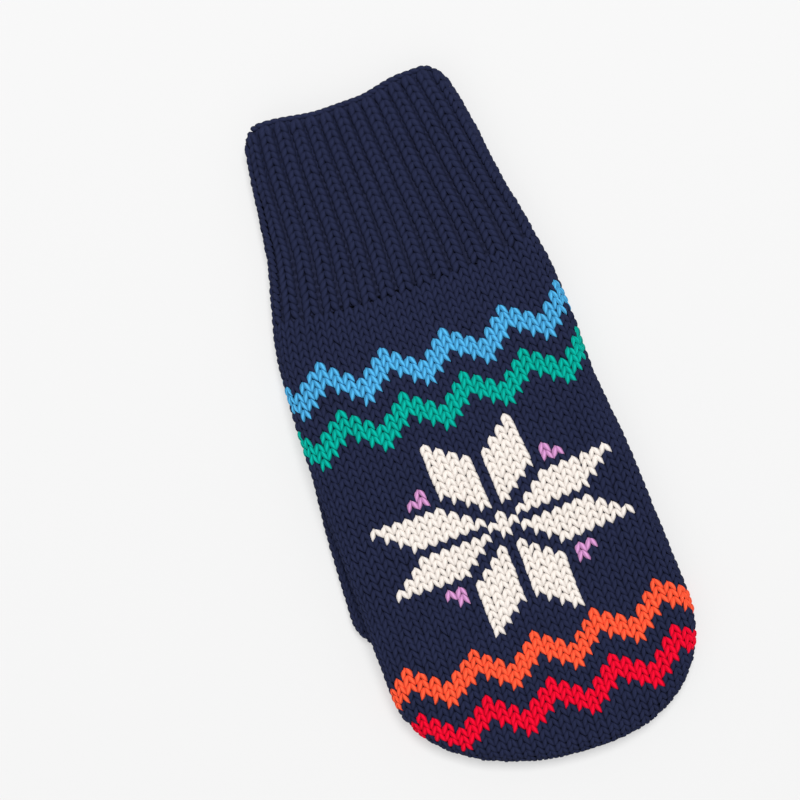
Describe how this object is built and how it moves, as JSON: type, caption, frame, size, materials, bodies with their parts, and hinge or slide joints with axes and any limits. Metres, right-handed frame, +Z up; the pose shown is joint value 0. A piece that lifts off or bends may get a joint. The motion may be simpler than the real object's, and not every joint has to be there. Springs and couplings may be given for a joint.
{
  "type": "knitted mitten",
  "caption": "Left-hand knitted mitten with a ribbed cuff and a star and zigzag pattern, lying on its palm with the thumb folded flat under it.",
  "frame": {"origin": "middle of the mitten's box, on the surface that it lies on", "axes": "+X across the hand away from the thumb, +Y along the hand to the wrist edge, +Z up through the back of the hand"},
  "size_m": [0.1228, 0.26, 0.021],
  "materials": {
    "navy_yarn": "knitted yarn, matte",
    "light_blue_yarn": "knitted yarn, matte",
    "green_yarn": "knitted yarn, matte",
    "orange_yarn": "knitted yarn, matte",
    "red_yarn": "knitted yarn, matte",
    "cream_yarn": "knitted yarn, matte",
    "lilac_yarn": "knitted yarn, matte"
  },
  "bodies": {
    "root": {"ribbed_cuff": "navy_yarn", "hand": "navy_yarn", "thumb": "navy_yarn"}
  },
  "joints": []
}
